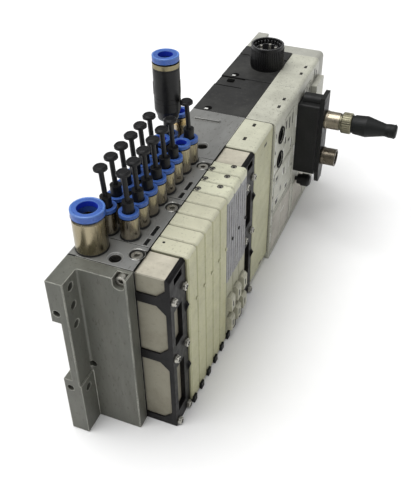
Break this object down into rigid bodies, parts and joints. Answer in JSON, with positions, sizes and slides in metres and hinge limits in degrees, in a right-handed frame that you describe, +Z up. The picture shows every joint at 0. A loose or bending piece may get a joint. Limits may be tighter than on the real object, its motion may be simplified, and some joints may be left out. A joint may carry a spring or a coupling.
{
  "type": "pneumatic valve island",
  "caption": "Row of pneumatic valves on an aluminium manifold with blue push-in tube fittings, blanking plugs, exhaust silencers and a bus connection with a cable plug.",
  "frame": {"origin": "lower edge of the mounting face at the seam behind the front end plate", "axes": "+X out from the mounting face, +Y along the row from the supply end to the electronics end, +Z up to the tube fittings"},
  "size_m": [0.1208, 0.303, 0.1691],
  "materials": {
    "cast_aluminium": "cast, worn",
    "light_cast": "light satin",
    "aluminium": "extruded, worn",
    "cover_cream": "satin, yellowed",
    "silencer_white": "porous",
    "frame_black": "satin",
    "valve_grey": "satin",
    "pilot_cream": "satin",
    "steel": "zinc plated",
    "seal_rubber": "matte",
    "nickel": "nickel plated",
    "plug_black": "satin",
    "reducer_black": "satin",
    "link_dark": "matte",
    "module_light": "satin",
    "connector_black": "satin",
    "adapter_black": "matte",
    "socket_metal": "nickel plated",
    "plug_rubber": "matte",
    "ring_blue": "gloss",
    "button_dark": "gloss",
    "nut_metal": "nickel plated, knurled"
  },
  "bodies": {
    "island": {"adapter_screws": "adapter_black", "blank_cover_1": "cover_cream", "blank_cover_2": "cover_cream", "blank_cover_3": "cover_cream", "blank_cover_4": "cover_cream", "blank_cover_5": "cover_cream", "blanking_plugs": "plug_black", "bus_adapter": "adapter_black", "bus_sockets": "socket_metal", "cable_plug": "plug_rubber", "electronics_module_1": "module_light", "electronics_module_2": "module_light", "front_end_plate": "cast_aluminium", "gaskets": "seal_rubber", "interface_cover": "cover_cream", "interface_fitting": "nickel", "interlinking_block_1": "link_dark", "interlinking_block_2": "link_dark", "open_fittings": "nickel", "pilot_plugs": "pilot_cream", "pneumatic_interface": "aluminium", "port_fittings": "nickel", "power_connector": "connector_black", "rear_end_plate": "light_cast", "reducer_body": "reducer_black", "screws": "steel", "silencer_block_1": "silencer_white", "silencer_block_2": "silencer_white", "silencer_frame_1": "frame_black", "silencer_frame_2": "frame_black", "sub_base_1": "aluminium", "sub_base_2": "aluminium", "supply_fitting": "nickel", "supply_plate": "aluminium", "valve_1": "valve_grey", "valve_2": "valve_grey", "valve_3": "valve_grey"},
    "ring_l1": {"ring_l1": "ring_blue"},
    "ring_l2": {"ring_l2": "ring_blue"},
    "ring_l3": {"ring_l3": "ring_blue"},
    "ring_l4": {"ring_l4": "ring_blue"},
    "ring_l5": {"ring_l5": "ring_blue"},
    "ring_l6": {"ring_l6": "ring_blue"},
    "ring_l7": {"ring_l7": "ring_blue"},
    "ring_l8": {"ring_l8": "ring_blue"},
    "ring_r1": {"ring_r1": "ring_blue"},
    "ring_r2": {"ring_r2": "ring_blue"},
    "ring_r3": {"ring_r3": "ring_blue"},
    "ring_r4": {"ring_r4": "ring_blue"},
    "ring_r5": {"ring_r5": "ring_blue"},
    "ring_r6": {"ring_r6": "ring_blue"},
    "ring_r7": {"ring_r7": "ring_blue"},
    "ring_r8": {"ring_r8": "ring_blue"},
    "supply_ring": {"supply_ring": "ring_blue"},
    "interface_ring": {"interface_ring": "ring_blue"},
    "reducer_ring": {"reducer_ring": "ring_blue"},
    "override_1": {"override_1": "button_dark"},
    "override_2": {"override_2": "button_dark"},
    "override_3": {"override_3": "button_dark"},
    "coupling_nut": {"coupling_nut": "nut_metal"}
  },
  "joints": [
    {"name": "ring_l1_press", "type": "slide", "parent": "island", "child": "ring_l1", "axis": [0, 0, -1], "range_m": [0, 0.0006], "stiffness_N_per_m": 800},
    {"name": "ring_l2_press", "type": "slide", "parent": "island", "child": "ring_l2", "axis": [0, 0, -1], "range_m": [0, 0.0006], "stiffness_N_per_m": 800},
    {"name": "ring_l3_press", "type": "slide", "parent": "island", "child": "ring_l3", "axis": [0, 0, -1], "range_m": [0, 0.0006], "stiffness_N_per_m": 800},
    {"name": "ring_l4_press", "type": "slide", "parent": "island", "child": "ring_l4", "axis": [0, 0, -1], "range_m": [0, 0.0006], "stiffness_N_per_m": 800},
    {"name": "ring_l5_press", "type": "slide", "parent": "island", "child": "ring_l5", "axis": [0, 0, -1], "range_m": [0, 0.0006], "stiffness_N_per_m": 800},
    {"name": "ring_l6_press", "type": "slide", "parent": "island", "child": "ring_l6", "axis": [0, 0, -1], "range_m": [0, 0.0006], "stiffness_N_per_m": 800},
    {"name": "ring_l7_press", "type": "slide", "parent": "island", "child": "ring_l7", "axis": [0, 0, -1], "range_m": [0, 0.0006], "stiffness_N_per_m": 800},
    {"name": "ring_l8_press", "type": "slide", "parent": "island", "child": "ring_l8", "axis": [0, 0, -1], "range_m": [0, 0.0006], "stiffness_N_per_m": 800},
    {"name": "ring_r1_press", "type": "slide", "parent": "island", "child": "ring_r1", "axis": [0, 0, -1], "range_m": [0, 0.0006], "stiffness_N_per_m": 800},
    {"name": "ring_r2_press", "type": "slide", "parent": "island", "child": "ring_r2", "axis": [0, 0, -1], "range_m": [0, 0.0006], "stiffness_N_per_m": 800},
    {"name": "ring_r3_press", "type": "slide", "parent": "island", "child": "ring_r3", "axis": [0, 0, -1], "range_m": [0, 0.0006], "stiffness_N_per_m": 800},
    {"name": "ring_r4_press", "type": "slide", "parent": "island", "child": "ring_r4", "axis": [0, 0, -1], "range_m": [0, 0.0006], "stiffness_N_per_m": 800},
    {"name": "ring_r5_press", "type": "slide", "parent": "island", "child": "ring_r5", "axis": [0, 0, -1], "range_m": [0, 0.0006], "stiffness_N_per_m": 800},
    {"name": "ring_r6_press", "type": "slide", "parent": "island", "child": "ring_r6", "axis": [0, 0, -1], "range_m": [0, 0.0006], "stiffness_N_per_m": 800},
    {"name": "ring_r7_press", "type": "slide", "parent": "island", "child": "ring_r7", "axis": [0, 0, -1], "range_m": [0, 0.0006], "stiffness_N_per_m": 800},
    {"name": "ring_r8_press", "type": "slide", "parent": "island", "child": "ring_r8", "axis": [0, 0, -1], "range_m": [0, 0.0006], "stiffness_N_per_m": 800},
    {"name": "supply_ring_press", "type": "slide", "parent": "island", "child": "supply_ring", "axis": [0, 0, -1], "range_m": [0, 0.0006], "stiffness_N_per_m": 800},
    {"name": "interface_ring_press", "type": "slide", "parent": "island", "child": "interface_ring", "axis": [0, 0, -1], "range_m": [0, 0.0006], "stiffness_N_per_m": 800},
    {"name": "reducer_ring_press", "type": "slide", "parent": "island", "child": "reducer_ring", "axis": [0, 0, -1], "range_m": [0, 0.0006], "stiffness_N_per_m": 800},
    {"name": "override_1_press", "type": "slide", "parent": "island", "child": "override_1", "axis": [-1, 0, 0], "range_m": [0, 0.001], "stiffness_N_per_m": 600},
    {"name": "override_2_press", "type": "slide", "parent": "island", "child": "override_2", "axis": [-1, 0, 0], "range_m": [0, 0.001], "stiffness_N_per_m": 600},
    {"name": "override_3_press", "type": "slide", "parent": "island", "child": "override_3", "axis": [-1, 0, 0], "range_m": [0, 0.001], "stiffness_N_per_m": 600},
    {"name": "coupling_nut_turn", "type": "hinge", "parent": "island", "child": "coupling_nut", "pos_m": [0.0879, 0.212, 0.0838], "axis": [1, 0, 0], "continuous": true}
  ]
}
